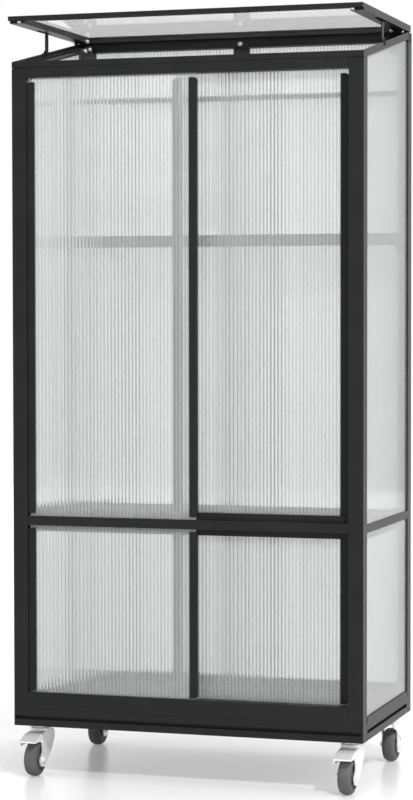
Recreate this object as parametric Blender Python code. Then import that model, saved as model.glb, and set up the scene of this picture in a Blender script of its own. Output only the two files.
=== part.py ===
# Mini greenhouse on four swivel casters: extruded aluminium frame, translucent
# twin-wall sheet on all sides, two pairs of sliding doors one above the other,
# a sloping top with a lid hinged at the rear, and three levels inside.
# Lengths below are millimetres; every mesh is built in metres, +Z up, with the
# origin on the floor under the centre of the whole footprint. The doors face -Y.

import math

import bmesh
import bpy

MM = 0.001

# Overall size
WIDTH = 580.0
DEPTH = 329.0
HALF = WIDTH / 2
GAP = 0.3

# Sheet and the groove that holds it, measured in from an outer face
SHEET = 4.0
SHEET_OUT = 2.3
GROOVE_OUT = 2.0
GROOVE_IN = 6.6
GROOVE_DEEP = 6.0
EDGE_PLAY = 0.4
LIP_WALL = 2.0

# Base ring
BASE_LO = 83.4
BASE_TALL = 28.3
BASE_HI = BASE_LO + BASE_TALL
BASE_WIDE = 28.0
BASE_WALL = 3.0
BASE_CAP = 3.0
BASE_LIP = 8.0
BASE_FLANGE = 18.0
SLOT_UP = 10.9
SLOT_TALL = 5.7
SLOT_LO = BASE_LO + SLOT_UP
SLOT_HI = SLOT_LO + SLOT_TALL
SLOT_NECK = 2.0
SLOT_DEEP = 6.0
SLOT_FLARE = 2.2

# Corner posts
POST = 24.0
POST_WALL = 2.0
POST_CORE = 9.0

# Sloping top
SLOPE_Z = 1151.3
SLOPE_BACK_Z = 1211.2935
SLOPE_RISE = (SLOPE_BACK_Z - SLOPE_Z) / (DEPTH - POST)
SIDE_LIP = 12.0
SIDE_FLANGE = 16.3
SIDE_SINK = 6.0
SIDE_WEB = 2.0
SIDE_LEDGE = 9.0
CAP_LIP = 9.6
CAP_DEEP = 4.0
CAP_LINE = 1.0
CAP_LINE_DEEP = 0.8

# Front rails with their two door tracks
RAIL_DEEP = 28.0
TRACKS = (4.7, 19.2)
TRACK_WIDE = 4.6
SEPARATOR = (11.5, 17.0)
BOTTOM_RAIL_TALL = 26.7
BOTTOM_RAIL_HI = BASE_HI + GAP + BOTTOM_RAIL_TALL
BOTTOM_TRACK_DEEP = 4.0
MID_LO = 408.5
MID_TALL = 15.0
MID_HI = MID_LO + MID_TALL
MID_WEB = 2.0
MID_WEB_UP = 2.5
MID_FIN = 11.0
MID_FIN_LOW = 10.0
TOP_RAIL_TALL = 26.1
TOP_RAIL_LO = SLOPE_Z - TOP_RAIL_TALL
TOP_TRACK_DEEP = 15.8
TOP_TRACK_HI = TOP_RAIL_LO + TOP_TRACK_DEEP
CORE_WALL = 3.0

# Sliding doors
DOOR_WIDE = 285.2
DOOR_SHUT = HALF - POST
LEFT_DOOR_PLAY = 0.3
RIGHT_DOOR_PLAY = 4.6
STRIP_WIDE = 12.5
STRIP_THICK = 7.4
STRIP_SLOT = 4.6
STRIP_ROUND = 4.5
STRIP_FOLD = 10.0
UPPER_PLAY = (4.1, 6.8)
LOWER_PLAY = (1.8, 4.6)
UPPER_STRIP = (MID_HI + UPPER_PLAY[0], TOP_RAIL_LO - UPPER_PLAY[1])
LOWER_STRIP = (BOTTOM_RAIL_HI + LOWER_PLAY[0], MID_LO - LOWER_PLAY[1])
TOP_PLAY = 8.0
UPPER_DOOR_HI = TOP_TRACK_HI - TOP_PLAY
MID_PLAY = 4.5
LOWER_DOOR_HI = MID_LO + MID_PLAY

# Side and rear rails
SIDE_MID_DROP = 0.8
SIDE_MID_TALL = 12.6
SIDE_MID_LO = MID_LO - SIDE_MID_DROP
SIDE_MID_HI = SIDE_MID_LO + SIDE_MID_TALL
SIDE_MID_WEB = 2.0
SIDE_FIN = 10.7
SIDE_FIN_LO = SIDE_MID_LO - SIDE_FIN
SIDE_FIN_HI = SIDE_MID_HI + SIDE_FIN
LEDGE_UP = 9.8
LEDGE_TOP = SIDE_MID_LO + LEDGE_UP
LEDGE_THICK = 3.0
REAR_TOP_DROP = 0.1935
REAR_TOP_TALL = 15.2
REAR_TOP_HI = SLOPE_BACK_Z - REAR_TOP_DROP
REAR_TOP_LO = REAR_TOP_HI - REAR_TOP_TALL
CROSS_LO = 1107.0
CROSS_TALL = 8.6
CROSS_HI = CROSS_LO + CROSS_TALL
CROSS_THICK = 8.7
MULLION_HALF = 13.5
MULLION_THICK = 8.1
MULLION_BACK = DEPTH - GROOVE_IN - LIP_WALL - GAP
MULLION_FRONT = MULLION_BACK - MULLION_THICK
MULLION_WALL = 2.4

# Levels inside
DECK_THICK = 3.0
DECK_BACK = MULLION_FRONT - GAP
SHELF_THICK = 3.0
SHELF_DEEP = 82.7
SHELF_FRONT = DEPTH - POST - GAP - SHELF_DEEP
SHELF_HI = 878.5
SHELF_LIP = 19.5
SHELF_LIP_LO = SHELF_HI - SHELF_LIP
SHELF_SHEET = 2.0
SHELF_INSET = 9.0
SHELF_HALF = HALF - SHELF_INSET
BRACE_WIDE = 12.0
BRACE_DROP = 34.0
BRACE_LO = SHELF_LIP_LO - BRACE_DROP
BRACE_FORK = 38.0

# Lid, open and level as it is at rest
LID_OVER = 1.4
LID_HALF = HALF + LID_OVER
LID_FRONT = -11.7
LID_SHORT = 13.5
LID_BACK = DEPTH - LID_SHORT
LID_SEAT = 0.8
LID_THICK = 10.8
LID_LO = REAR_TOP_HI + LID_SEAT
LID_HI = LID_LO + LID_THICK
LID_WIDE = 18.0
LID_SIDE_EXTRA = 4.4
LID_FRONT_THICK = 7.1
LID_FRONT_LO = LID_HI - LID_FRONT_THICK
LID_FRONT_FACE = 8.5
LID_CHANNEL = (2.2, 10.2)
LID_CHANNEL_TOP = 1.5
LID_BAYS = ((98.0, 156.0), (268.0, 290.0))
LID_SHEET = 2.0
LID_SHEET_UP = 7.2
LID_SHEET_LO = LID_LO + LID_SHEET_UP
HINGE_OUT = 2.0
HINGE_DROP = 2.3
LID_HINGE = (DEPTH - POST - HINGE_OUT, REAR_TOP_HI - HINGE_DROP)

# Stays that prop the lid
STAY_INSET = 4.8
STAY_X = HALF - STAY_INSET
STAY_Y = 141.7
STAY_RISE = 2.0
STAY_TIP = 0.17
STAY_WIDE = 12.0
STAY_THICK = 1.6
STAY_HOLE = 1.4
LEG_OVER = 2.6
CLIP_THICK = 1.1
CLIP_SEAT = 0.5
CLIP_HALF = 7.5
CLIP_PIN = 1.1
CLIP_HOOK = 6.0

# Casters
CASTER_INSET = 29.0
CASTER_X = HALF - CASTER_INSET
CASTER_Y = 42.0
PLATE = 36.0
PLATE_THICK = 3.1
WHEEL_R = 27.5
WHEEL_WIDE = 21.6
WHEEL_BACK = 25.6
AXLE_R = 4.0
AXLE_PLAY = 0.3
FORK_HALF = 14.0
FORK_WALL = 2.0
FORK_TOP = 70.0
FORK_ROOF = 2.5
PEDAL_LO = 58.0
PEDAL_THICK = 2.5
PEDAL_REACH = 59.0
PEDAL_TAIL = 12.0
PEDAL_HI = 69.5
PEDAL_CREST = 4.0
PEDAL_TAB = 5.5
PEDAL_TAB_BACK = 7.0
PEDAL_PIVOT = 14.5

# Footprint centre, between the pedals' front edges and the rear wheels' backs
CENTRE_Y = (DEPTH + WHEEL_BACK + WHEEL_R - PEDAL_REACH) / 2

# Smoothness of round pieces
RING = 40
SMALL_RING = 16

SLOTS = {
    "frame_aluminium": ((0.032, 0.034, 0.036), 0.55, 0.0),
    "trim_plastic": ((0.022, 0.023, 0.024), 0.5, 0.0),
    "clear_sheet": ((0.78, 0.8, 0.8), 0.35, 0.0),
    "deck_metal": ((0.045, 0.047, 0.05), 0.5, 0.0),
    "zinc_steel": ((0.72, 0.72, 0.72), 0.3, 1.0),
    "wheel_rubber": ((0.05, 0.05, 0.052), 0.8, 0.0),
}


def slope(y):
    """Height of the sloping top plane at a distance y behind the front."""
    return SLOPE_Z + SLOPE_RISE * y


def world(point):
    """Millimetres from the front plane to metres about the footprint centre."""
    x, y, z = point
    return (x * MM, (y - CENTRE_Y) * MM, z * MM)


def material(slot):
    found = bpy.data.materials.get(slot)
    if found:
        return found
    colour, rough, metal = SLOTS[slot]
    made = bpy.data.materials.new(slot)
    made.use_nodes = True
    shader = made.node_tree.nodes["Principled BSDF"]
    shader.inputs["Base Color"].default_value = (*colour, 1.0)
    shader.inputs["Roughness"].default_value = rough
    shader.inputs["Metallic"].default_value = metal
    return made


def make(name, points, faces, slot, origin=None, smooth=False):
    """Add one mesh object; its points are in the shared frame."""
    start = world(origin) if origin else (0.0, 0.0, 0.0)
    mesh = bpy.data.meshes.new(name)
    bm = bmesh.new()
    verts = []
    for point in points:
        x, y, z = world(point)
        verts.append(bm.verts.new((x - start[0], y - start[1], z - start[2])))
    for face in faces:
        bm.faces.new([verts[i] for i in face])
    bmesh.ops.recalc_face_normals(bm, faces=bm.faces)
    bm.to_mesh(mesh)
    bm.free()
    obj = bpy.data.objects.new(name, mesh)
    obj.location = start
    bpy.context.collection.objects.link(obj)
    if slot:
        mesh.materials.append(material(slot))
    if smooth:
        mesh.shade_smooth()
        mesh.set_sharp_from_angle(angle=math.radians(35))
    return obj


def prism(name, outline, lo, hi, place, slot=None, origin=None):
    """Extrude a flat outline from lo to hi; place maps (u, v, t) to a point."""
    count = len(outline)
    points = [place(u, v, lo) for u, v in outline]
    points += [place(u, v, hi) for u, v in outline]
    faces = [list(range(count)), list(range(count, 2 * count))]
    for i in range(count):
        j = (i + 1) % count
        faces.append([i, j, count + j, count + i])
    return make(name, points, faces, slot, origin)


def along_x(u, v, t):
    return (t, u, v)


def along_y(u, v, t):
    return (u, t, v)


def along_z(u, v, t):
    return (u, v, t)


def box(name, xs, ys, zs, slot=None, origin=None):
    outline = [(xs[0], ys[0]), (xs[1], ys[0]), (xs[1], ys[1]), (xs[0], ys[1])]
    return prism(name, outline, zs[0], zs[1], along_z, slot, origin)


def turn(name, profile, centre, axis, slot=None, origin=None, steps=RING, ring=False):
    """Turn a (radius, height) profile about an x or z axis through centre."""
    points = []
    for radius, height in profile:
        for i in range(steps):
            angle = 2 * math.pi * i / steps
            a = radius * math.cos(angle)
            b = radius * math.sin(angle)
            if axis == "x":
                points.append((centre[0] + height, centre[1] + a, centre[2] + b))
            else:
                points.append((centre[0] + a, centre[1] + b, centre[2] + height))
    faces = []
    rows = len(profile)
    for row in range(rows if ring else rows - 1):
        after = (row + 1) % rows
        for i in range(steps):
            j = (i + 1) % steps
            faces.append([row * steps + i, row * steps + j, after * steps + j, after * steps + i])
    if not ring:
        faces.append(list(range(steps)))
        faces.append([(rows - 1) * steps + i for i in range(steps)])
    return make(name, points, faces, slot, origin, smooth=True)


def combine(target, other, operation):
    """Cut or join a helper shape; the helper is hidden from the render."""
    other.hide_render = True
    other.hide_viewport = False
    other.display_type = "WIRE"
    mod = target.modifiers.new(other.name, "BOOLEAN")
    mod.operation = operation
    mod.solver = "EXACT"
    mod.object = other


def cut(target, other):
    combine(target, other, "DIFFERENCE")


def join(target, other):
    combine(target, other, "UNION")


def sided(name, side):
    return name + ("_left" if side < 0 else "_right")


for old in list(bpy.data.objects):
    bpy.data.objects.remove(old, do_unlink=True)


# Base ring

SLOT_OUTLINE = [
    (0.0, SLOT_HI),
    (SLOT_NECK, SLOT_HI),
    (SLOT_NECK, SLOT_HI + SLOT_FLARE),
    (SLOT_DEEP, SLOT_HI + SLOT_FLARE),
    (SLOT_DEEP, SLOT_LO - SLOT_FLARE),
    (SLOT_NECK, SLOT_LO - SLOT_FLARE),
    (SLOT_NECK, SLOT_LO),
    (0.0, SLOT_LO),
]
LIP_OUTLINE = [
    (GROOVE_IN + LIP_WALL, BASE_HI),
    (GROOVE_IN + LIP_WALL, BASE_HI + BASE_FLANGE),
    (GROOVE_IN, BASE_HI + BASE_FLANGE),
    (GROOVE_IN, BASE_HI),
    (GROOVE_OUT, BASE_HI),
    (GROOVE_OUT, BASE_HI + BASE_LIP),
    (0.0, BASE_HI + BASE_LIP),
]
CORE_LO = BASE_LO + BASE_WALL
CORE_HI = BASE_HI - BASE_WALL
CORE_FROM = SLOT_DEEP + BASE_WALL
BASE_PLAIN = [(0.0, BASE_LO), (BASE_WIDE, BASE_LO), (BASE_WIDE, BASE_HI), (0.0, BASE_HI)] + SLOT_OUTLINE
BASE_LIPPED = (
    [(0.0, BASE_LO), (BASE_WIDE, BASE_LO), (BASE_WIDE, CORE_LO), (CORE_FROM, CORE_LO)]
    + [(CORE_FROM, CORE_HI), (BASE_WIDE, CORE_HI), (BASE_WIDE, BASE_HI)]
    + LIP_OUTLINE
    + SLOT_OUTLINE
)
SIDE_FROM = BASE_WIDE + GAP
SIDE_TO = DEPTH - BASE_WIDE - GAP
CORE_END = HALF - BASE_WIDE



def end_caps(rail, ys):
    """Close both ends of a base profile that runs along x."""
    for side in (-1, 1):
        xs = sorted((side * (HALF - BASE_CAP), side * HALF))
        join(rail, box(sided(rail.name + "_cap", side), xs, ys, (BASE_LO, BASE_HI)))


cap_from = HALF - BASE_CAP
base_front = prism("base_front", BASE_PLAIN, -cap_from, cap_from, along_x, "frame_aluminium")
cut(base_front, box("base_front_core", (-CORE_END, CORE_END), (CORE_FROM, BASE_WIDE + 1), (CORE_LO, CORE_HI)))
end_caps(base_front, (0.0, BASE_WIDE))

rear_outline = [(DEPTH - u, v) for u, v in BASE_LIPPED]
base_rear = prism("base_rear", rear_outline, -cap_from, cap_from, along_x, "frame_aluminium")
for side in (-1, 1):
    ends = sorted((side * (HALF - POST - GAP), side * (HALF + 1)))
    lips = box(
        sided("base_rear_lip_end", side),
        ends,
        (DEPTH - BASE_WIDE - 1, DEPTH + 1),
        (BASE_HI, BASE_HI + BASE_FLANGE + 1),
    )
    cut(base_rear, lips)
end_caps(base_rear, (DEPTH - BASE_WIDE, DEPTH))

for side in (-1, 1):
    side_outline = [(side * (HALF - u), v) for u, v in BASE_LIPPED]
    prism(sided("base", side), side_outline, SIDE_FROM, SIDE_TO, along_y, "frame_aluminium")


# Corner posts

POST_LO = BASE_HI + GAP
POST_TOP_FRONT = SLOPE_Z - CAP_LIP - CAP_LINE
RAIL_FRONT = CAP_DEEP + GAP
POST_TOP_REAR = REAR_TOP_LO - GAP
GROOVE_END = POST - GROOVE_DEEP
FRONT_POST = [
    (0.0, 0.0),
    (POST, 0.0),
    (POST, POST),
    (POST - POST_WALL, POST),
    (POST - POST_WALL, POST_WALL),
    (POST_CORE, POST_WALL),
    (POST_CORE, POST),
    (GROOVE_IN, POST),
    (GROOVE_IN, GROOVE_END),
    (GROOVE_OUT, GROOVE_END),
    (GROOVE_OUT, POST),
    (0.0, POST),
]
REAR_POST = [
    (0.0, 0.0),
    (POST, 0.0),
    (POST, GROOVE_OUT),
    (GROOVE_END, GROOVE_OUT),
    (GROOVE_END, GROOVE_IN),
    (POST, GROOVE_IN),
    (POST, POST),
    (POST - POST_WALL, POST),
    (POST - POST_WALL, POST_CORE),
    (POST_CORE, POST_CORE),
    (POST_CORE, POST),
    (GROOVE_IN, POST),
    (GROOVE_IN, GROOVE_END),
    (GROOVE_OUT, GROOVE_END),
    (GROOVE_OUT, POST),
    (0.0, POST),
]
for side in (-1, 1):
    outline = [(side * (HALF - u), v) for u, v in FRONT_POST]
    post = prism(sided("post_front", side), outline, POST_LO, SLOPE_Z, along_z, "frame_aluminium")
    under = SIDE_LIP + GAP
    top_cut = [
        (-1.0, POST_TOP_FRONT),
        (RAIL_FRONT - GAP, POST_TOP_FRONT),
        (RAIL_FRONT - GAP, slope(RAIL_FRONT - GAP) - under),
        (POST + 1, slope(POST + 1) - under),
        (POST + 1, SLOPE_Z + POST),
        (-1.0, SLOPE_Z + POST),
    ]
    ends = sorted((side * (HALF - POST - 1), side * (HALF + 1)))
    cut(post, prism(sided("post_front_top", side), top_cut, ends[0], ends[1], along_x))

    outline = [(side * (HALF - u), DEPTH - v) for u, v in REAR_POST]
    prism(sided("post_rear", side), outline, POST_LO, POST_TOP_REAR, along_z, "frame_aluminium")


# Front rails

RAIL_HALF = HALF - POST - GAP
TRACK_ENDS = [(start, start + TRACK_WIDE) for start in TRACKS]


def track_outline(base, lip, track, core=None):
    """Rail section: base edge, two lips and two tracks; core opens behind."""
    points = [(0.0, base)]
    points.append((0.0, lip))
    for start, end in TRACK_ENDS:
        points += [(start, lip), (start, track), (end, track), (end, lip)]
    points.append((RAIL_DEEP, lip))
    if core:
        points += [(RAIL_DEEP, core[1]), (CORE_WALL, core[1])]
        points += [(CORE_WALL, core[0]), (RAIL_DEEP, core[0])]
    points.append((RAIL_DEEP, base))
    return points


bottom_track = BOTTOM_RAIL_HI - BOTTOM_TRACK_DEEP
bottom_core = (POST_LO + CORE_WALL, bottom_track - CORE_WALL)
bottom_outline = track_outline(POST_LO, BOTTOM_RAIL_HI, bottom_track, bottom_core)
prism("front_bottom_rail", bottom_outline, -RAIL_HALF, RAIL_HALF, along_x, "frame_aluminium")

mid_centre = (MID_LO + MID_HI) / 2 + MID_WEB_UP
web_lo = mid_centre - MID_WEB / 2
web_hi = mid_centre + MID_WEB / 2
(t0, t1), (t2, t3) = TRACK_ENDS
s0, s1 = SEPARATOR
mid_outline = [
    (0.0, MID_LO), (t0, MID_LO), (t0, web_lo), (t1, web_lo), (t1, MID_LO), (s0, MID_LO),
    (s0, MID_LO - MID_FIN_LOW), (s1, MID_LO - MID_FIN_LOW), (s1, MID_LO),
    (t2, MID_LO), (t2, web_lo), (t3, web_lo), (t3, MID_LO), (RAIL_DEEP, MID_LO),
    (RAIL_DEEP, MID_HI), (t3, MID_HI), (t3, web_hi), (t2, web_hi), (t2, MID_HI),
    (s1, MID_HI), (s1, MID_HI + MID_FIN), (s0, MID_HI + MID_FIN), (s0, MID_HI),
    (t1, MID_HI), (t1, web_hi), (t0, web_hi), (t0, MID_HI), (0.0, MID_HI),
]
prism("front_mid_rail", mid_outline, -RAIL_HALF, RAIL_HALF, along_x, "frame_aluminium")

top_outline = track_outline(SLOPE_Z, TOP_RAIL_LO, TOP_TRACK_HI)
top_rail = prism("front_top_rail", top_outline, -RAIL_HALF, RAIL_HALF, along_x, "frame_aluminium")
cap = box("front_top_cap", (-HALF, HALF), (0.0, CAP_DEEP), (SLOPE_Z - CAP_LIP, SLOPE_Z))
join(top_rail, cap)
line_zs = (SLOPE_Z - CAP_LIP - CAP_LINE, SLOPE_Z - CAP_LIP)
cut(top_rail, box("front_top_line", (-RAIL_HALF - 1, RAIL_HALF + 1), (-1.0, CAP_LINE_DEEP), line_zs))


# Side rails and rear rails

MID_FROM = POST + GAP
MID_TO = DEPTH - POST - GAP
side_web_lo = (SIDE_MID_LO + SIDE_MID_HI) / 2 - SIDE_MID_WEB / 2
side_web_hi = side_web_lo + SIDE_MID_WEB
FIN = GROOVE_IN + LIP_WALL
SIDE_MID = [
    (0.0, SIDE_MID_LO), (GROOVE_OUT, SIDE_MID_LO), (GROOVE_OUT, side_web_lo),
    (GROOVE_IN, side_web_lo), (GROOVE_IN, SIDE_FIN_LO), (FIN, SIDE_FIN_LO),
    (FIN, LEDGE_TOP - LEDGE_THICK), (POST, LEDGE_TOP - LEDGE_THICK), (POST, LEDGE_TOP),
    (FIN, LEDGE_TOP), (FIN, SIDE_FIN_HI), (GROOVE_IN, SIDE_FIN_HI),
    (GROOVE_IN, side_web_hi), (GROOVE_OUT, side_web_hi), (GROOVE_OUT, SIDE_MID_HI),
    (0.0, SIDE_MID_HI),
]
SIDE_ROOF = SIDE_SINK + SIDE_WEB
SIDE_TOP = [
    (0.0, 0.0), (GROOVE_OUT, 0.0), (GROOVE_OUT, SIDE_SINK), (FIN, SIDE_SINK),
    (FIN, SIDE_LEDGE), (POST, SIDE_LEDGE), (POST, SIDE_LIP), (FIN, SIDE_LIP),
    (FIN, SIDE_FLANGE), (GROOVE_IN, SIDE_FLANGE), (GROOVE_IN, SIDE_ROOF),
    (GROOVE_OUT, SIDE_ROOF), (GROOVE_OUT, SIDE_LIP), (0.0, SIDE_LIP),
]


def down_slope(u, v, t):
    return (u, t, slope(t) - v)


for side in (-1, 1):
    outline = [(side * (HALF - u), v) for u, v in SIDE_MID]
    prism(sided("side_mid_rail", side), outline, MID_FROM, MID_TO, along_y, "frame_aluminium")

    outline = [(side * (HALF - u), v) for u, v in SIDE_TOP]
    rail = prism(sided("side_top_rail", side), outline, RAIL_FRONT, MID_TO, down_slope, "frame_aluminium")
    flange = [(side * (HALF - GROOVE_OUT), SIDE_LIP), (side * (HALF - POST + LIP_WALL), SIDE_LIP)]
    flange += [(side * (HALF - POST + LIP_WALL), SIDE_FLANGE + 1), (side * (HALF - GROOVE_OUT), SIDE_FLANGE + 1)]
    cut(rail, prism(sided("side_top_flange", side), flange, 0.0, POST + GAP, down_slope))

REAR_MID = [
    (0.0, SIDE_MID_LO), (GROOVE_OUT, SIDE_MID_LO), (GROOVE_OUT, side_web_lo),
    (GROOVE_IN, side_web_lo), (GROOVE_IN, SIDE_MID_LO), (FIN, SIDE_MID_LO),
    (FIN, SIDE_MID_HI), (GROOVE_IN, SIDE_MID_HI), (GROOVE_IN, side_web_hi),
    (GROOVE_OUT, side_web_hi), (GROOVE_OUT, SIDE_MID_HI), (0.0, SIDE_MID_HI),
]
outline = [(DEPTH - u, v) for u, v in REAR_MID]
prism("rear_mid_rail", outline, -RAIL_HALF, RAIL_HALF, along_x, "frame_aluminium")

top_groove = REAR_TOP_LO + GROOVE_DEEP
REAR_TOP = [
    (0.0, REAR_TOP_LO), (GROOVE_OUT, REAR_TOP_LO), (GROOVE_OUT, top_groove),
    (GROOVE_IN, top_groove), (GROOVE_IN, REAR_TOP_LO), (POST, REAR_TOP_LO),
    (POST, REAR_TOP_HI), (0.0, REAR_TOP_HI),
]
outline = [(DEPTH - u, v) for u, v in REAR_TOP]
prism("rear_top_rail", outline, -HALF, HALF, along_x, "frame_aluminium")

cross_back = MULLION_FRONT - GAP
cross_front = cross_back - CROSS_THICK
box("rear_cross_bar", (-RAIL_HALF, RAIL_HALF), (cross_front, cross_back), (CROSS_LO, CROSS_HI), "frame_aluminium")

inner = MULLION_HALF - MULLION_WALL
mullion_outline = [
    (-MULLION_HALF, MULLION_FRONT), (MULLION_HALF, MULLION_FRONT), (MULLION_HALF, MULLION_BACK),
    (inner, MULLION_BACK), (inner, MULLION_FRONT + MULLION_WALL),
    (-inner, MULLION_FRONT + MULLION_WALL), (-inner, MULLION_BACK), (-MULLION_HALF, MULLION_BACK),
]
prism("rear_mullion", mullion_outline, POST_LO, POST_TOP_REAR, along_z, "frame_aluminium")


# Fixed sheets

sheet_from = GROOVE_END + EDGE_PLAY
sheet_to = DEPTH - GROOVE_END - EDGE_PLAY
lower_lo = BASE_HI + EDGE_PLAY
lower_hi = side_web_lo - EDGE_PLAY
upper_lo = side_web_hi + EDGE_PLAY
upper_drop = SIDE_ROOF + EDGE_PLAY
for side in (-1, 1):
    xs = sorted((side * (HALF - SHEET_OUT), side * (HALF - SHEET_OUT - SHEET)))
    box(sided("side_sheet_lower", side), xs, (sheet_from, sheet_to), (lower_lo, lower_hi), "clear_sheet")
    outline = [
        (sheet_from, upper_lo),
        (sheet_to, upper_lo),
        (sheet_to, POST_TOP_REAR - GAP),
        (MID_TO - GAP, POST_TOP_REAR - GAP),
        (MID_TO - GAP, slope(MID_TO - GAP) - upper_drop),
        (sheet_from, slope(sheet_from) - upper_drop),
    ]
    prism(sided("side_sheet_upper", side), outline, xs[0], xs[1], along_x, "clear_sheet")

rear_half = HALF - GROOVE_END - EDGE_PLAY
rear_ys = (DEPTH - SHEET_OUT - SHEET, DEPTH - SHEET_OUT)
box("rear_sheet_lower", (-rear_half, rear_half), rear_ys, (lower_lo, lower_hi), "clear_sheet")
box("rear_sheet_upper", (-rear_half, rear_half), rear_ys, (upper_lo, top_groove - EDGE_PLAY), "clear_sheet")


# Floor deck, middle shelf and narrow upper shelf

box("floor_deck", (-RAIL_HALF, RAIL_HALF), (SIDE_FROM, DECK_BACK), (POST_LO, POST_LO + DECK_THICK), "deck_metal")
shelf_lo = LEDGE_TOP + GAP
shelf_half = HALF - FIN - GAP
box("mid_shelf", (-shelf_half, shelf_half), (SIDE_FROM, MID_TO), (shelf_lo, shelf_lo + SHELF_THICK), "deck_metal")

lip_outline = [
    (SHELF_FRONT, SHELF_LIP_LO),
    (SHELF_FRONT + SHELF_SHEET, SHELF_LIP_LO),
    (SHELF_FRONT + SHELF_SHEET, SHELF_HI - SHELF_SHEET),
    (MID_TO, SHELF_HI - SHELF_SHEET),
    (MID_TO, SHELF_HI),
    (SHELF_FRONT, SHELF_HI),
]
shelf = prism("upper_shelf", lip_outline, -SHELF_HALF, SHELF_HALF, along_x, "deck_metal")
arm_outline = [
    (SHELF_FRONT + SHELF_SHEET / 2, SHELF_HI - SHELF_SHEET / 2),
    (MID_TO, SHELF_HI - SHELF_SHEET / 2),
    (MID_TO, SHELF_HI - BRACE_WIDE),
    (SHELF_FRONT + BRACE_FORK, SHELF_HI - BRACE_WIDE),
    (MID_TO, BRACE_LO + BRACE_WIDE * 1.15),
    (MID_TO, BRACE_LO),
    (SHELF_FRONT + BRACE_WIDE, SHELF_LIP_LO),
    (SHELF_FRONT + SHELF_SHEET / 2, SHELF_LIP_LO),
]
for side in (-1, 1):
    xs = sorted((side * SHELF_HALF, side * (SHELF_HALF - SHELF_SHEET)))
    join(shelf, prism(sided("upper_shelf_arm", side), arm_outline, xs[0], xs[1], along_x))


# Sliding doors: left leaves run in the front track, right leaves in the rear one


def door_strip(name, x_outer, x_inner, y_mid, zs, origin):
    """Edge strip of a door: rounded ends, a slot for the sheet on one side."""
    step = 1 if x_inner > x_outer else -1
    outline = [(x_inner, zs[0]), (x_inner, zs[1])]
    for quarter, centre_z in ((0, zs[1] - STRIP_ROUND), (1, zs[0] + STRIP_ROUND)):
        for i in range(6):
            angle = math.pi / 2 * (1 - quarter - i / 5)
            x = x_outer + step * STRIP_ROUND * (1 - math.cos(angle))
            outline.append((x, centre_z + STRIP_ROUND * math.sin(angle)))
    lo = y_mid - STRIP_THICK / 2
    hi = y_mid + STRIP_THICK / 2
    strip = prism(name, outline, lo, hi, along_y, "trim_plastic", origin)
    xs = sorted((x_outer + step * (STRIP_WIDE - STRIP_FOLD), x_inner + step))
    slot_ys = (y_mid - STRIP_SLOT / 2, y_mid + STRIP_SLOT / 2)
    cut(strip, box(name + "_slot", xs, slot_ys, (zs[0] - 1, zs[1] + 1)))


LEVELS = (
    ("upper", UPPER_STRIP, web_hi + GAP, UPPER_DOOR_HI),
    ("lower", LOWER_STRIP, bottom_track + GAP, LOWER_DOOR_HI),
)
for side, play, (track, track_end) in zip((-1, 1), (LEFT_DOOR_PLAY, RIGHT_DOOR_PLAY), TRACK_ENDS):
    y_mid = (track + track_end) / 2
    outer = side * (DOOR_SHUT - play)
    inner_edge = outer - side * DOOR_WIDE
    for level, strip_zs, sheet_lo, sheet_hi in LEVELS:
        name = sided("door_" + level, side)
        origin = (outer, y_mid, (strip_zs[0] + strip_zs[1]) / 2)
        door_strip(name + "_outer_strip", outer, outer - side * STRIP_WIDE, y_mid, strip_zs, origin)
        door_strip(name + "_inner_strip", inner_edge, inner_edge + side * STRIP_WIDE, y_mid, strip_zs, origin)
        inset = STRIP_WIDE - STRIP_FOLD + GAP
        xs = sorted((outer - side * inset, inner_edge + side * inset))
        ys = (y_mid - SHEET / 2, y_mid + SHEET / 2)
        box(name + "_sheet", xs, ys, (sheet_lo, sheet_hi), "clear_sheet", origin)


# Lid

LID_SECTION = [
    (0.0, LID_LO), (LID_CHANNEL[0], LID_LO), (LID_CHANNEL[0], LID_HI - LID_CHANNEL_TOP),
    (LID_CHANNEL[1], LID_HI - LID_CHANNEL_TOP), (LID_CHANNEL[1], LID_LO), (LID_WIDE, LID_LO),
    (LID_WIDE, LID_SHEET_LO - GAP), (LID_WIDE - GROOVE_DEEP, LID_SHEET_LO - GAP),
    (LID_WIDE - GROOVE_DEEP, LID_SHEET_LO + LID_SHEET + GAP), (LID_WIDE, LID_SHEET_LO + LID_SHEET + GAP),
    (LID_WIDE, LID_HI), (0.0, LID_HI),
]
lid_origin = (0.0, LID_HINGE[0], LID_HINGE[1])
corners = ((-1, LID_FRONT, 1), (1, LID_FRONT, 1), (1, LID_BACK, -1), (-1, LID_BACK, -1))
points = []
for side, edge, inward in corners:
    for w, z in LID_SECTION:
        extra = LID_SIDE_EXTRA if w > LID_CHANNEL[1] else 0.0
        points.append((side * (LID_HALF - w - extra), edge + inward * w, z))
count = len(LID_SECTION)
faces = []
for corner in range(4):
    after = (corner + 1) % 4
    for i in range(count):
        j = (i + 1) % count
        faces.append([corner * count + i, corner * count + j, after * count + j, after * count + i])
lid = make("lid_frame", points, faces, "frame_aluminium", lid_origin)
lid_clear = LID_HALF - LID_WIDE - LID_SIDE_EXTRA
relief = box(
    "lid_front_relief",
    (-lid_clear, lid_clear),
    (LID_FRONT - 1, LID_FRONT + LID_WIDE + 1),
    (LID_LO - 1, LID_FRONT_LO),
)
cut(lid, relief)
face_relief = box(
    "lid_face_relief",
    (-LID_HALF - 1, LID_HALF + 1),
    (LID_FRONT - 1, LID_FRONT + LID_FRONT_FACE),
    (LID_LO - 1, LID_FRONT_LO),
)
cut(lid, face_relief)

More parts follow.
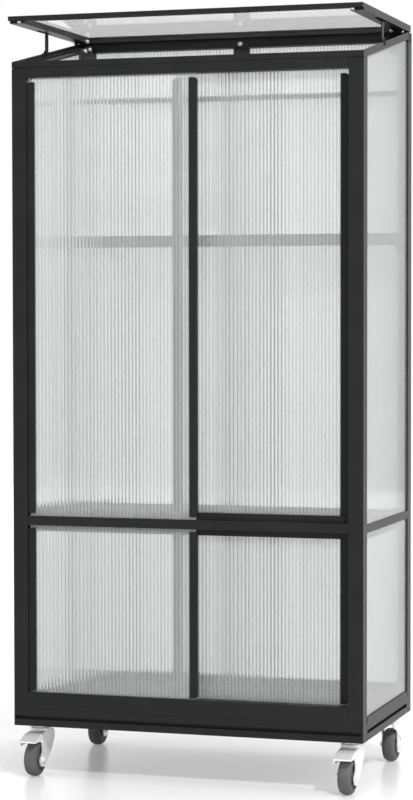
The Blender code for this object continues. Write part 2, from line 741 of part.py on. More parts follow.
# The side channels stay open only where the stays fold and the hinges stand
(stay_bay, stay_bay_end), (hinge_bay, hinge_bay_end) = LID_BAYS
fills = (
    (LID_FRONT + LID_FRONT_FACE, stay_bay),
    (stay_bay_end, hinge_bay),
    (hinge_bay_end, LID_BACK - LID_WIDE),
)
for side in (-1, 1):
    xs = sorted(side * (LID_HALF - w) for w in (LID_CHANNEL[0] - GAP, LID_CHANNEL[1] + GAP))
    for number, ys in enumerate(fills):
        fill = box(sided("lid_fill_%d" % number, side), xs, ys, (LID_LO, LID_HI - LID_CHANNEL_TOP / 2))
        join(lid, fill)
lid_edge = LID_WIDE - GROOVE_DEEP + EDGE_PLAY
lid_half = LID_HALF - lid_edge - LID_SIDE_EXTRA
box(
    "lid_sheet",
    (-lid_half, lid_half),
    (LID_FRONT + lid_edge, LID_BACK - lid_edge),
    (LID_SHEET_LO, LID_SHEET_LO + LID_SHEET),
    "clear_sheet",
    lid_origin,
)


# Stays and their clips

stay_z = slope(STAY_Y) + STAY_RISE
stay_long = LID_LO + STAY_TIP - stay_z
for side in (-1, 1):
    pivot = (side * STAY_X, STAY_Y, stay_z)
    outline = []
    for centre_z, start in ((stay_z + stay_long - STAY_WIDE / 2, 0), (stay_z, 1)):
        for i in range(SMALL_RING // 2 + 1):
            angle = math.pi * (start + i / (SMALL_RING // 2))
            outline.append((STAY_Y + STAY_WIDE / 2 * math.cos(angle), centre_z + STAY_WIDE / 2 * math.sin(angle)))
    xs = sorted((side * (STAY_X - STAY_THICK / 2), side * (STAY_X + STAY_THICK / 2)))
    stay = prism(sided("stay", side), outline, xs[0], xs[1], along_x, "frame_aluminium", pivot)
    hole = turn(
        sided("stay_hole", side),
        [(STAY_HOLE, -STAY_THICK), (STAY_HOLE, STAY_THICK)],
        pivot,
        "x",
        steps=SMALL_RING,
    )
    cut(stay, hole)

    # Clip: saddle over the rail's outer wall, its inner leg carries the stay's pin
    saddle_hi = GAP + CLIP_SEAT
    leg_out = HALF - GROOVE_OUT - GAP
    leg_in = leg_out - CLIP_THICK
    leg_lo = SIDE_SINK - GAP
    leg_hi = STAY_RISE + LEG_OVER
    hook_in = HALF + GAP
    hook_out = hook_in + CLIP_THICK
    clip_section = [
        (side * hook_in, -GAP), (side * hook_in, CLIP_HOOK), (side * hook_out, CLIP_HOOK),
        (side * hook_out, -saddle_hi), (side * leg_out, -saddle_hi), (side * leg_out, -leg_hi),
        (side * leg_in, -leg_hi), (side * leg_in, leg_lo), (side * leg_out, leg_lo),
        (side * leg_out, -GAP),
    ]
    clip = prism(
        sided("stay_clip", side),
        clip_section,
        STAY_Y - CLIP_HALF,
        STAY_Y + CLIP_HALF,
        down_slope,
        "trim_plastic",
    )
    pin_from = side * (leg_out - CLIP_THICK / 2)
    pin_to = side * (STAY_X - STAY_THICK / 2 - GAP)
    pin = turn(
        sided("stay_clip_pin", side),
        [(CLIP_PIN, 0.0), (CLIP_PIN, pin_to - pin_from)],
        (pin_from, STAY_Y, stay_z),
        "x",
        steps=SMALL_RING,
    )
    join(clip, pin)


# Casters: front pair with brake pedals, rear pair turned the other way

HEAD = [
    (16.0, FORK_TOP - FORK_ROOF / 2), (17.0, FORK_TOP + 1.0), (17.0, FORK_TOP + 5.0),
    (15.5, FORK_TOP + 6.2), (9.0, FORK_TOP + 6.2), (9.0, FORK_TOP + 7.4),
    (15.0, FORK_TOP + 7.4), (15.0, BASE_LO - GAP - PLATE_THICK - GAP),
]
CHEEK = [
    (-38.0, 27.5), (-36.8, 22.0), (-33.6, 17.5), (-28.5, 15.0), (-23.0, 14.6),
    (-15.0, 14.5), (-3.0, 24.5), (13.5, 39.0), (26.0, 54.0), (26.5, 66.0),
    (23.0, FORK_TOP), (-23.0, FORK_TOP), (-27.0, 66.0), (-27.0, 38.0),
]
CHEEK_REAR = [
    (-38.0, 27.5), (-36.8, 22.0), (-33.6, 17.5), (-28.5, 15.0), (-23.0, 14.6),
    (-17.0, 17.0), (-14.0, 26.0), (-15.0, 44.0), (-8.0, 55.0), (10.0, 60.0),
    (18.0, 65.0), (18.0, FORK_TOP), (-23.0, FORK_TOP), (-27.0, 66.0), (-27.0, 38.0),
]
TYRE = [
    (AXLE_R + AXLE_PLAY, -10.0), (9.0, -10.0), (9.0, -8.2), (18.5, -8.2), (19.5, -10.2),
    (22.0, -10.8), (24.6, -9.5), (26.4, -7.0), (27.3, -3.6), (27.5, 0.0), (27.3, 3.6),
    (26.4, 7.0), (24.6, 9.5), (22.0, 10.8), (19.5, 10.2), (18.5, 8.2), (9.0, 8.2),
    (9.0, 10.0), (AXLE_R + AXLE_PLAY, 10.0),
]
plate_lo = BASE_LO - GAP - PLATE_THICK
for face, back in (("front", 1), ("rear", -1)):
    for side in (-1, 1):
        x = side * CASTER_X
        y = CASTER_Y if back > 0 else DEPTH - CASTER_Y
        tag = sided(face, side)
        ys = sorted((y - PLATE / 2, y + PLATE / 2))
        box("caster_plate_" + tag, (x - PLATE / 2, x + PLATE / 2), ys, (plate_lo, plate_lo + PLATE_THICK), "zinc_steel")

        swivel = (x, y, FORK_TOP)
        outline = [(y + back * v, z) for v, z in (CHEEK if back > 0 else CHEEK_REAR)]
        fork = prism("caster_fork_" + tag, outline, x - FORK_HALF, x + FORK_HALF, along_x, "zinc_steel", swivel)
        gap_half = FORK_HALF - FORK_WALL
        hollow = box(
            "caster_hollow_" + tag,
            (x - gap_half, x + gap_half),
            (y - PLATE - 10, y + PLATE + 10),
            (0.0, FORK_TOP - FORK_ROOF),
        )
        cut(fork, hollow)
        head = [(r, z - FORK_TOP) for r, z in HEAD]
        join(fork, turn("caster_head_" + tag, head, (x, y, FORK_TOP), "z", steps=32))
        axle_y = y - back * WHEEL_BACK
        axle = (x, axle_y, WHEEL_R)
        pin = [(AXLE_R, -FORK_HALF + FORK_WALL / 2), (AXLE_R, FORK_HALF - FORK_WALL / 2)]
        join(fork, turn("caster_axle_" + tag, pin, axle, "x", steps=24))

        turn("caster_wheel_" + tag, TYRE, axle, "x", "wheel_rubber", axle, ring=True)

        if back < 0:
            continue
        pivot = (x, y - PEDAL_PIVOT, PEDAL_LO + PEDAL_THICK / 2)
        tread_to = y - FORK_HALF * 2 - GAP
        tail_half = gap_half - GAP
        pedal_flat = PEDAL_LO + PEDAL_THICK
        tread = [
            (y - PEDAL_REACH, PEDAL_LO), (tread_to, PEDAL_LO), (tread_to, PEDAL_HI),
            (tread_to - PEDAL_CREST, PEDAL_HI), (y - PEDAL_REACH, pedal_flat),
        ]
        pedal = prism("brake_pedal_" + tag, tread, x - FORK_HALF, x + FORK_HALF, along_x, "zinc_steel", pivot)
        tail_ys = (tread_to - PEDAL_CREST, y - PEDAL_TAIL)
        join(pedal, box("brake_tail_" + tag, (x - tail_half, x + tail_half), tail_ys, (PEDAL_LO, pedal_flat)))
        tab = box(
            "brake_tab_" + tag,
            (x - FORK_HALF, x - FORK_HALF + FORK_WALL),
            (y - PEDAL_REACH, tread_to - PEDAL_TAB_BACK),
            (PEDAL_LO - PEDAL_TAB, PEDAL_LO + PEDAL_THICK / 2),
        )
        join(pedal, tab)
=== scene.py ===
import math

import bmesh
import bpy
from mathutils import Matrix, Vector


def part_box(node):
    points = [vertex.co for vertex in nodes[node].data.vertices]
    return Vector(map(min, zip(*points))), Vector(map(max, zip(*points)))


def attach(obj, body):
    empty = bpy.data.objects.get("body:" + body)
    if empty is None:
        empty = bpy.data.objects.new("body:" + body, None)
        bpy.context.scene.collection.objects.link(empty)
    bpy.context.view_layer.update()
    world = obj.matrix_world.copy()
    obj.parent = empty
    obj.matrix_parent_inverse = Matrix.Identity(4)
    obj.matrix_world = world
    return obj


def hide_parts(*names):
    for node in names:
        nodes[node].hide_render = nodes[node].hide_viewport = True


MM = 0.001
SIDES = ((-1, "left"), (1, "right"))

# Sizes shared with the part's source
CENTRE_Y = 161.55
DEPTH = 329.0
POST = 24.0
GAP = 0.3
SLOPE_Z = 1151.3
SLOPE_BACK = 1211.2935

# Ribbed sheets: pitch of the webs, dip between them, columns to a pitch, and
# how far the upper side sheets end below the slope of the rail
PITCH = 5.9
FLUTE = 0.05
STEPS = 6
SLOPE_DROP = 8.4

# Meshes: edges sharper than this stay sharp, and steps around a turned piece
SHARP = math.radians(35)
TURNED_STEPS = 24
HEAD_STEPS = 20
RACE_STEPS = 32
NUT_SIDES = 6
ARC_STEPS = 6

# Pan-head screw: radii and heights as shares of the head's, and its socket
PAN_HEAD = ((1.0, 0.0), (1.0, 0.22), (0.96, 0.45), (0.82, 0.74), (0.58, 0.95))
SOCKET_WIDE = 0.38
SOCKET_TAPER = 0.9
SOCKET_EDGE = 0.55
SOCKET_FLOOR = 0.5

# Hinge leaf against the ledge of the sloping rail, and its capped screws
LEAF_FRONT = 240.0
LEAF_BACK = 303.6
LEAF_LO = 1172.0
LEAF_DROP = 3.2
LEAF_ROUND = 2.5
LEAF_IN = 264.4
LEAF_OUT = 265.8
LEAF_SCREWS = ((260.8, 1193.7), (283.5, 1198.6))
LEAF_SCREW_R = 3.7

# Hinge block that stands on the rail, and its bolt
BLOCK_FRONT = 274.0
BLOCK_BACK = 282.0
BLOCK_LIFT = 0.1
BLOCK_TOP = 7.0
BLOCK_ROUND = 2.2
BLOCK_IN = 282.0
BLOCK_OUT = 285.4
BOLT_Y = 277.6
BOLT_LIFT = 3.6

# Screws in the lid and on the mullion: x away from the middle, y and z
LID_SCREW = (269.0, 284.0, 1212.6)
LID_SCREW_R = 3.6
LID_CORNER = (273.6, -7.2, 1214.6)
MULLION_SCREW_Z = 1202.0
SCREW_NECK = 2.6

# Casters: swivel axis, axle, cheeks of the fork, ball race and plate
CASTER_IN = 42.0
CASTER_X = 261.0
TRAIL = 25.6
AXLE_Z = 27.5
CHEEK_OUT = 14.0
RACE_Z = 76.2
PLATE_Z = 80.0
PLATE_SCREW = 13.0

# Outlines of turned caster pieces: radius and height
AXLE_END = [
    (0, 0), (5.6, 0), (5.6, 2.4), (5.0, 3.2),
    (3.0, 3.3), (3.0, 4.4), (2.4, 4.9), (0, 4.9),
]
RACE = [(12.6, 0), (13.4, 0.25), (13.4, 0.95), (12.6, 1.2), (11.0, 1.2), (11.0, 0)]
WELD = 1e-6

# Depth of fine grain, and gloss of anodised metal
GRAIN_DEPTH = 0.0002
ANODISED_SPECULAR = 0.12

# Floor: half its width, its own light near the object and far away, and the
# distances from the middle between which the one turns into the other
FLOOR_HALF = 6.0
FLOOR_LIFT = 0.18
FLOOR_FAR_LIFT = 0.6
FLOOR_NEAR = 0.45
FLOOR_FAR = 4.8

# White for rays that see the world, and its light on the object
WORLD_SEEN = 1.0
WORLD_LEVEL = 0.45

# Camera of the photo: place, turn in degrees, lens and sensor in millimetres
CAMERA_PLACE = (1.1860, -3.77475, 0.7525)
CAMERA_TURN = (87.89, 0.08, 17.641)
CAMERA_LENS = 108.81
CAMERA_SENSOR = 36.0

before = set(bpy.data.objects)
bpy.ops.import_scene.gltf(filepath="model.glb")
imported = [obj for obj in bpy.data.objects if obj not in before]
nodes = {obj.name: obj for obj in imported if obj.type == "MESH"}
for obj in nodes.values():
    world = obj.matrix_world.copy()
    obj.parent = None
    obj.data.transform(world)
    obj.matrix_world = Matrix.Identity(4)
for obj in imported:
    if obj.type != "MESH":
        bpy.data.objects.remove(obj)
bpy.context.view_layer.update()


def at(x, y, z):
    return Vector((x * MM, (y - CENTRE_Y) * MM, z * MM))


def slope(y):
    """Height of the sloping side rails' top at y."""
    return SLOPE_Z + (SLOPE_BACK - SLOPE_Z) * y / (DEPTH - POST)


# Materials


class Look:
    """A Principled material with short helpers for its node tree."""

    def __init__(self, name, colour, rough, metal=0.0):
        self.mat = bpy.data.materials.new(name)
        self.mat.use_nodes = True
        self.tree = self.mat.node_tree
        self.bsdf = self.tree.nodes["Principled BSDF"]
        self.bsdf.inputs["Base Color"].default_value = (*colour, 1.0)
        self.bsdf.inputs["Roughness"].default_value = rough
        self.bsdf.inputs["Metallic"].default_value = metal
        self.place = self.node("ShaderNodeTexCoord").outputs["Object"]

    def node(self, kind, **values):
        made = self.tree.nodes.new(kind)
        for key, value in values.items():
            setattr(made, key, value)
        return made

    def link(self, a, b):
        self.tree.links.new(a, b)

    def math(self, operation, a, b=None):
        made = self.node("ShaderNodeMath", operation=operation)
        for socket, value in zip(made.inputs, (a, b)):
            if value is None:
                continue
            if isinstance(value, (int, float)):
                socket.default_value = value
            else:
                self.link(value, socket)
        return made.outputs[0]

    def noise(self, scale, detail=3.0, stretch=(1, 1, 1)):
        mapping = self.node("ShaderNodeMapping")
        mapping.inputs["Scale"].default_value = stretch
        self.link(self.place, mapping.inputs["Vector"])
        made = self.node("ShaderNodeTexNoise")
        made.inputs["Scale"].default_value = scale
        made.inputs["Detail"].default_value = detail
        self.link(mapping.outputs[0], made.inputs["Vector"])
        return made.outputs[0]

    def span(self, value, lo, hi, start=0.3, end=0.7):
        """Carry a value that runs from start to end over to lo to hi."""
        made = self.node("ShaderNodeMapRange")
        self.link(value, made.inputs["Value"])
        made.inputs["From Min"].default_value = start
        made.inputs["From Max"].default_value = end
        made.inputs["To Min"].default_value = lo
        made.inputs["To Max"].default_value = hi
        return made.outputs[0]

    def shade(self, value, first, second):
        """Base colour that goes from first to second as value goes from 0 to 1."""
        made = self.node("ShaderNodeMix", data_type="RGBA")
        self.link(value, made.inputs["Factor"])
        made.inputs["A"].default_value = (*first, 1.0)
        made.inputs["B"].default_value = (*second, 1.0)
        self.link(made.outputs["Result"], self.bsdf.inputs["Base Color"])

    def rough(self, value):
        self.link(value, self.bsdf.inputs["Roughness"])

    def bump(self, height, strength, distance):
        made = self.node("ShaderNodeBump")
        made.inputs["Strength"].default_value = strength
        made.inputs["Distance"].default_value = distance
        self.link(height, made.inputs["Height"])
        self.link(made.outputs["Normal"], self.bsdf.inputs["Normal"])


def anodised(name, low, high, rough_lo, rough_hi):
    look = Look(name, low, rough_lo)
    cloud = look.noise(scale=18.0, detail=2.0)
    grain = look.noise(scale=1600.0, detail=2.0)
    look.shade(look.span(cloud, 0.0, 1.0), low, high)
    look.rough(look.span(grain, rough_lo, rough_hi))
    look.bump(grain, strength=0.12, distance=GRAIN_DEPTH)
    look.bsdf.inputs["Specular IOR Level"].default_value = ANODISED_SPECULAR
    return look.mat


def let_light_through(look, tint):
    """Shadow rays meet a tinted transparent shader in place of the glassy one."""
    out = look.tree.nodes["Material Output"]
    path = look.node("ShaderNodeLightPath")
    open_air = look.node("ShaderNodeBsdfTransparent")
    open_air.inputs["Color"].default_value = (tint, tint, tint, 1.0)
    mix = look.node("ShaderNodeMixShader")
    look.link(path.outputs["Is Shadow Ray"], mix.inputs[0])
    look.link(look.bsdf.outputs[0], mix.inputs[1])
    look.link(open_air.outputs[0], mix.inputs[2])
    look.link(mix.outputs[0], out.inputs["Surface"])


def ribbed(name, axis, lens, index, passing, wall, rib):
    """Twin-wall sheet: webs every pitch along axis spread light sideways only."""
    look = Look(name, wall, 0.04)
    split = look.node("ShaderNodeSeparateXYZ")
    look.link(look.place, split.inputs[0])
    turn = look.math("MULTIPLY", split.outputs[axis], 2 * math.pi / (PITCH * MM))
    wave = look.math("COSINE", turn)
    web = look.span(wave, 0.0, 1.0, start=0.0, end=1.0)
    stretch = [0.001, 0.001, 0.001]
    stretch[axis] = 1.0
    streaks = look.noise(scale=60.0, detail=1.0, stretch=stretch)
    uneven = look.span(streaks, 0.55, 1.0, start=0.35, end=0.65)
    look.shade(look.math("MULTIPLY", web, uneven), wall, rib)
    look.bump(wave, strength=1.0, distance=lens)
    cloud = look.noise(scale=9.0, detail=2.0)
    look.rough(look.span(cloud, 0.02, 0.05))
    look.bsdf.inputs["Transmission Weight"].default_value = passing
    look.bsdf.inputs["IOR"].default_value = index
    let_light_through(look, tint=0.8)
    return look.mat


def glazed(name):
    """Plain clear sheet of the lid."""
    look = Look(name, (0.93, 0.935, 0.93), 0.02)
    cloud = look.noise(scale=30.0, detail=2.0)
    look.shade(look.span(cloud, 0.0, 1.0), (0.92, 0.925, 0.92), (0.95, 0.955, 0.95))
    look.rough(look.span(cloud, 0.012, 0.03))
    look.bsdf.inputs["Transmission Weight"].default_value = 0.92
    look.bsdf.inputs["IOR"].default_value = 1.06
    let_light_through(look, tint=0.9)
    return look.mat


def plated(name, low, high, metal):
    look = Look(name, low, 0.28, metal)
    cloud = look.noise(scale=60.0, detail=3.0)
    grain = look.noise(scale=900.0, detail=2.0)
    look.shade(look.span(cloud, 0.0, 1.0), low, high)
    look.rough(look.span(grain, 0.22, 0.38))
    look.bump(grain, strength=0.1, distance=GRAIN_DEPTH)
    return look.mat


def moulded(name, low, high, rough):
    look = Look(name, low, rough)
    cloud = look.noise(scale=45.0, detail=3.0)
    grain = look.noise(scale=1300.0, detail=2.0)
    look.shade(look.span(cloud, 0.0, 1.0), low, high)
    look.rough(look.span(grain, rough - 0.06, rough + 0.08))
    look.bump(grain, strength=0.2, distance=GRAIN_DEPTH)
    return look.mat


FRAME = anodised(
    "black_anodised",
    low=(0.0155, 0.0158, 0.016), high=(0.0193, 0.0196, 0.0198), rough_lo=0.3, rough_hi=0.42,
)
DECK = anodised(
    "black_coated_sheet",
    low=(0.03, 0.031, 0.033), high=(0.038, 0.039, 0.041), rough_lo=0.45, rough_hi=0.6,
)
# Darker copy of the black anodised frame for the rear top rail: painted shade of the lid above it
RAIL_PAINTED_SHADE = anodised(
    "black_rear_rail_painted_shade",
    low=(0.006, 0.0062, 0.0063), high=(0.008, 0.0082, 0.0083), rough_lo=0.4, rough_hi=0.52,
)
TRIM = anodised(
    "black_trim",
    low=(0.0155, 0.0158, 0.016), high=(0.0185, 0.0188, 0.019), rough_lo=0.4, rough_hi=0.52,
)
RUBBER = moulded("dark_rubber", low=(0.093, 0.093, 0.094), high=(0.12, 0.12, 0.122), rough=0.72)
ZINC = plated("bright_zinc", low=(0.87, 0.87, 0.86), high=(0.95, 0.95, 0.955), metal=0.3)
BOLT = plated("dull_zinc", low=(0.40, 0.40, 0.39), high=(0.52, 0.52, 0.53), metal=0.8)
GLAZING = glazed("lid_glazing")

# Sheets by the axis that their webs are counted along
SHEET = {
    0: ribbed(
        "ribbed_sheet_x", axis=0, lens=0.00034, index=1.42, passing=0.78,
        wall=(0.876, 0.886, 0.881), rib=(0.57, 0.585, 0.58),
    ),
    # The side sheets get a darker wall colour than the front and rear ones: painted shade
    1: ribbed(
        "ribbed_sheet_y_painted_shade", axis=1, lens=0.00002, index=1.42, passing=0.92,
        wall=(0.785, 0.795, 0.79), rib=(0.64, 0.655, 0.65),
    ),
}


# Pieces


def piece(name, bm, mat, body, smooth=True):
    bmesh.ops.recalc_face_normals(bm, faces=bm.faces)
    mesh = bpy.data.meshes.new(name)
    bm.to_mesh(mesh)
    bm.free()
    obj = bpy.data.objects.new(name, mesh)
    bpy.context.scene.collection.objects.link(obj)
    mesh.materials.append(mat)
    if smooth:
        mesh.shade_smooth()
        mesh.set_sharp_from_angle(angle=SHARP)
    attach(obj, body)
    return obj


def add_turned(bm, profile, place, steps=TURNED_STEPS):
    """Turn (radius, height) points about local z; place maps to the frame."""
    rings = []
    for radius, height in profile:
        if radius == 0:
            rings.append([bm.verts.new(place @ Vector((0, 0, height * MM)))])
            continue
        ring = []
        for i in range(steps):
            a = 2 * math.pi * i / steps
            point = Vector((radius * math.cos(a), radius * math.sin(a), height)) * MM
            ring.append(bm.verts.new(place @ point))
        rings.append(ring)
    for low, high in zip(rings, rings[1:]):
        for i in range(steps):
            j = (i + 1) % steps
            if len(low) == 1:
                bm.faces.new((low[0], high[j], high[i]))
            elif len(high) == 1:
                bm.faces.new((low[i], low[j], high[0]))
            else:
                bm.faces.new((low[i], low[j], high[j], high[i]))


def facing(centre, direction):
    """Matrix at centre whose local z points along direction."""
    turn = Vector((0, 0, 1)).rotation_difference(Vector(direction))
    return Matrix.Translation(centre) @ turn.to_matrix().to_4x4()


def dome(name, centre, direction, radius, tall, body):
    """Pan-head screw with a flange edge and a socket in its crown."""
    socket = radius * SOCKET_WIDE
    profile = [(0, 0)]
    profile += [(radius * wide, tall * high) for wide, high in PAN_HEAD]
    profile += [
        (socket, tall),
        (socket * SOCKET_TAPER, tall * SOCKET_EDGE),
        (0, tall * SOCKET_FLOOR),
    ]
    bm = bmesh.new()
    add_turned(bm, profile, facing(centre, direction), HEAD_STEPS)
    piece(name, bm, BOLT, body)


def button(name, centre, direction, radius, body):
    """Domed cap on a short neck."""
    profile = [(0, 0), (radius, 0), (radius, SCREW_NECK)]
    for i in range(1, ARC_STEPS):
        angle = math.pi / 2 * i / ARC_STEPS
        profile.append((radius * math.cos(angle), SCREW_NECK + radius * math.sin(angle)))
    profile.append((0, SCREW_NECK + radius))
    bm = bmesh.new()
    add_turned(bm, profile, facing(centre, direction), HEAD_STEPS)
    piece(name, bm, BOLT, body)


def add_prism(bm, outline, lo, hi):
    """Extrude an outline of (y, z) along x from lo to hi."""
    low = [bm.verts.new(at(lo, y, z)) for y, z in outline]
    high = [bm.verts.new(at(hi, y, z)) for y, z in outline]
    bm.faces.new(low)
    bm.faces.new(high)
    for i in range(len(outline)):
        j = (i + 1) % len(outline)
        bm.faces.new((low[i], low[j], high[j], high[i]))


def rounded(corners, radius, steps=4):
    """Round each corner of an outline of (y, z) points."""
    points = []
    count = len(corners)
    for i, corner in enumerate(corners):
        here = Vector(corner)
        back = (Vector(corners[i - 1]) - here).normalized() * radius
        ahead = (Vector(corners[(i + 1) % count]) - here).normalized() * radius
        for k in range(steps + 1):
            t = k / steps
            spot = here + back * (1 - t) ** 2 + ahead * t ** 2
            points.append(tuple(spot))
    return points


# Ribbed sheets in place of the plain ones


def sheet(node, axis, body, top=None):
    """Closed upright sheet whose two faces dip between the webs."""
    lo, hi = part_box(node)
    thick = 1 - axis
    count = int(round((hi[axis] - lo[axis]) / (PITCH * MM / STEPS)))
    bm = bmesh.new()
    columns = []
    for i in range(count + 1):
        s = lo[axis] + (hi[axis] - lo[axis]) * i / count
        dip = FLUTE * MM * (0.5 - 0.5 * math.cos(2 * math.pi * s / (PITCH * MM)))
        column = []
        for face in (lo[thick] + dip, hi[thick] - dip):
            for z in (lo[2], top(s) if top else hi[2]):
                point = [0.0, 0.0, z]
                point[axis] = s
                point[thick] = face
                column.append(bm.verts.new(point))
        columns.append(column)
    for a, b in zip(columns, columns[1:]):
        for i, j in ((0, 1), (3, 2), (2, 0), (1, 3)):
            bm.faces.new((a[i], b[i], b[j], a[j]))
    for a in (columns[0], columns[-1]):
        bm.faces.new((a[0], a[1], a[3], a[2]))
    obj = piece(node + "_ribbed", bm, SHEET[axis], body)
    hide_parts(node)


post_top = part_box("post_rear_left")[1][2]
post_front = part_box("post_rear_left")[0][1]


def side_top(s):
    """Top edge of an upper side sheet: under the rail's slope, then level."""
    if s > post_front - GAP * MM:
        return post_top - GAP * MM
    return (slope(s / MM + CENTRE_Y) - SLOPE_DROP) * MM


for level in ("upper", "lower"):
    for side, word in SIDES:
        door = "door_%s_%s" % (level, word)
        sheet(door + "_sheet", 0, door)
        top = side_top if level == "upper" else None
        sheet("side_sheet_%s_%s" % (level, word), 1, "frame", top)
    sheet("rear_sheet_" + level, 0, "frame")


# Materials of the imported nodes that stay


def material_of(name):
    """Material of a node, or None for a sheet that a ribbed one replaces."""
    if name == "lid_sheet":
        return GLAZING
    if "sheet" in name:
        return None
    if name.startswith(("caster_plate", "caster_fork", "brake")):
        return ZINC
    if name.startswith("caster_wheel"):
        return RUBBER
    if "strip" in name or name.startswith("stay_clip"):
        return TRIM
    # The rear top rail gets the darker copy of the frame: painted shade
    if name == "rear_top_rail":
        return RAIL_PAINTED_SHADE
    if name in ("floor_deck", "mid_shelf", "upper_shelf"):
        return DECK
    return FRAME


for name, obj in nodes.items():
    mat = material_of(name)
    if mat:
        for slot in obj.material_slots:
            slot.material = mat


# Hinge hardware, screws on the lid and the mullion


def plate(name, corners, radius, side, near, far):
    """Upright plate with rounded corners, from near to far off the middle."""
    bm = bmesh.new()
    lo, hi = sorted((side * near, side * far))
    add_prism(bm, rounded(corners, radius), lo, hi)
    piece(name, bm, TRIM, "frame", smooth=False)


def hinge(side, word):
    """Leaf with two capped screws, and the block and bolt in the lid's channel."""
    leaf = [
        (LEAF_FRONT, LEAF_LO),
        (LEAF_BACK, LEAF_LO),
        (LEAF_BACK, slope(LEAF_BACK) - LEAF_DROP),
        (LEAF_FRONT, slope(LEAF_FRONT) - LEAF_DROP),
    ]
    plate("hinge_leaf_" + word, leaf, LEAF_ROUND, side, LEAF_IN, LEAF_OUT)
    for i, (y, z) in enumerate(LEAF_SCREWS):
        name = "hinge_screw_%d_%s" % (i + 1, word)
        button(name, at(side * LEAF_IN, y, z), (-side, 0, 0), LEAF_SCREW_R, "frame")

    block = [
        (BLOCK_FRONT, slope(BLOCK_FRONT) + BLOCK_LIFT),
        (BLOCK_BACK, slope(BLOCK_BACK) + BLOCK_LIFT),
        (BLOCK_BACK, slope(BLOCK_BACK) + BLOCK_TOP),
        (BLOCK_FRONT, slope(BLOCK_FRONT) + BLOCK_TOP),
    ]
    plate("hinge_block_" + word, block, BLOCK_ROUND, side, BLOCK_IN, BLOCK_OUT)
    place = at(side * BLOCK_OUT, BOLT_Y, slope(BOLT_Y) + BOLT_LIFT)
    dome("hinge_bolt_" + word, place, (side, 0, 0), radius=3.1, tall=3.0, body="frame")


def lid_screws(side, word):
    """One on the inner face near the hinge, one under the front corner."""
    x, y, z = LID_SCREW
    button("lid_screw_" + word, at(side * x, y, z), (-side, 0, 0), LID_SCREW_R, "lid")
    x, y, z = LID_CORNER
    place = at(side * x, y, z)
    dome("lid_corner_screw_" + word, place, (0, 0, -1), radius=3.6, tall=3.2, body="lid")


for side, word in SIDES:
    hinge(side, word)
    lid_screws(side, word)

place = at(0.0, DEPTH - POST, MULLION_SCREW_Z)
dome("mullion_screw", place, (0, -1, 0), radius=4.2, tall=3.0, body="frame")


# Casters: axle nut and head, ball race and plate screws


def caster_hardware(tag, x, y, axle):
    """Hardware of the caster that swivels about x, y, with its axle at y axle."""
    for face, kind, steps in ((-1, "nut", NUT_SIDES), (1, "head", TURNED_STEPS)):
        bm = bmesh.new()
        place = facing(at(x + face * CHEEK_OUT, axle, AXLE_Z), (face, 0, 0))
        add_turned(bm, AXLE_END, place, steps)
        piece("axle_%s_%s" % (kind, tag), bm, ZINC, "caster_" + tag)

    bm = bmesh.new()
    add_turned(bm, RACE + [RACE[0]], facing(at(x, y, RACE_Z), (0, 0, 1)), RACE_STEPS)
    bmesh.ops.remove_doubles(bm, verts=bm.verts, dist=WELD)
    piece("ball_race_" + tag, bm, ZINC, "frame")

    corners = [(dx, dy) for dy in (-PLATE_SCREW, PLATE_SCREW) for dx in (-PLATE_SCREW, PLATE_SCREW)]
    for i, (dx, dy) in enumerate(corners):
        name = "plate_screw_%d_%s" % (i + 1, tag)
        place = at(x + dx, y + dy, PLATE_Z)
        dome(name, place, (0, 0, -1), radius=2.6, tall=1.6, body="frame")


for end, y, outward in (("front", CASTER_IN, -1), ("rear", DEPTH - CASTER_IN, 1)):
    for side, word in SIDES:
        tag = "%s_%s" % (end, word)
        caster_hardware(tag, side * CASTER_X, y, y + outward * TRAIL)


# Floor, light and camera


def seen_rays(tree):
    """1 for rays from the camera, off a gloss or through a sheet, otherwise 0."""
    path = tree.nodes.new("ShaderNodeLightPath")
    seen = path.outputs["Is Camera Ray"]
    for ray in ("Is Glossy Ray", "Is Transmission Ray"):
        either = tree.nodes.new("ShaderNodeMath")
        either.operation = "MAXIMUM"
        tree.links.new(seen, either.inputs[0])
        tree.links.new(path.outputs[ray], either.inputs[1])
        seen = either.outputs[0]
    return seen


def pale_floor():
    """Slightly glossy floor that adds light for seen rays, more further out."""
    look = Look("pale_floor", (0.85, 0.85, 0.85), 0.24)
    look.bsdf.inputs["Emission Color"].default_value = (1, 1, 1, 1)
    away = look.node("ShaderNodeVectorMath", operation="LENGTH")
    look.link(look.place, away.inputs[0])
    lift = look.span(away.outputs["Value"], FLOOR_LIFT, FLOOR_FAR_LIFT, FLOOR_NEAR, FLOOR_FAR)
    glow = look.math("MULTIPLY", seen_rays(look.tree), lift)
    look.link(glow, look.bsdf.inputs["Emission Strength"])
    return look.mat


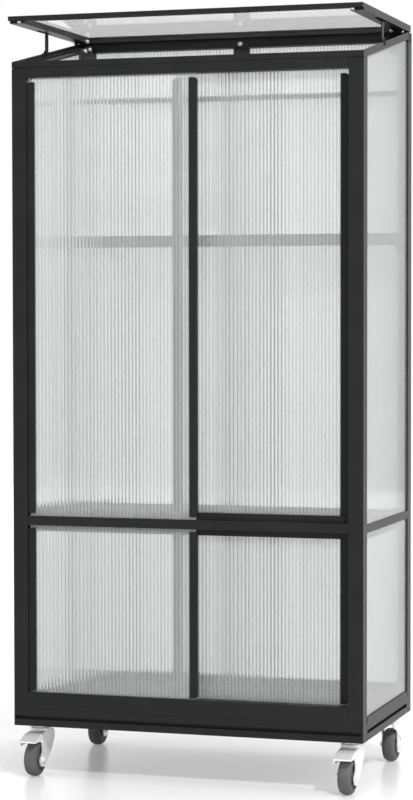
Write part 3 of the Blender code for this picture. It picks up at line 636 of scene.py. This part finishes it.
bm = bmesh.new()
bmesh.ops.create_grid(bm, x_segments=1, y_segments=1, size=FLOOR_HALF)
mesh = bpy.data.meshes.new("floor")
bm.to_mesh(mesh)
bm.free()
floor = bpy.data.objects.new("floor", mesh)
bpy.context.scene.collection.objects.link(floor)
mesh.materials.append(pale_floor())

world = bpy.data.worlds.new("studio")
bpy.context.scene.world = world
world.use_nodes = True
tree = world.node_tree
back = tree.nodes["Background"]
back.inputs["Color"].default_value = (1, 1, 1, 1)
level = tree.nodes.new("ShaderNodeMapRange")
tree.links.new(seen_rays(tree), level.inputs["Value"])
level.inputs["To Min"].default_value = WORLD_LEVEL
level.inputs["To Max"].default_value = WORLD_SEEN
tree.links.new(level.outputs[0], back.inputs["Strength"])


def lamp(name, place, aim, size, power, mirrored=True):
    """Square area lamp; one that isn't mirrored stays out of reflections."""
    data = bpy.data.lights.new(name, "AREA")
    data.shape = "SQUARE"
    data.size = size
    data.energy = power
    obj = bpy.data.objects.new(name, data)
    obj.location = place
    obj.rotation_euler = (Vector(aim) - Vector(place)).to_track_quat("-Z", "Y").to_euler()
    obj.visible_glossy = mirrored
    bpy.context.scene.collection.objects.link(obj)


lamp("overhead", place=(0.25, -0.1, 3.6), aim=(0, 0, 0), size=1.6, power=25.0)
lamp("key", place=(2.2, -2.35, 2.65), aim=(0, 0, 0.3), size=0.26, power=80.0)
lamp("fill", place=(1.5, -2.9, 2.0), aim=(0, 0, 0.6), size=1.4, power=12.0)
lamp("side", place=(3.0, 0.3, 1.7), aim=(0, 0, 0.9), size=1.4, power=26.0)
lamp("left", place=(-2.6, -1.4, 1.5), aim=(0, 0, 0.6), size=1.4, power=16.0, mirrored=False)

camera = bpy.data.cameras.new("camera")
camera.lens = CAMERA_LENS
camera.sensor_width = CAMERA_SENSOR
view = bpy.data.objects.new("camera", camera)
view.location = CAMERA_PLACE
view.rotation_euler = [math.radians(turn) for turn in CAMERA_TURN]
bpy.context.scene.collection.objects.link(view)
bpy.context.scene.camera = view
bpy.context.scene.view_settings.view_transform = "Standard"
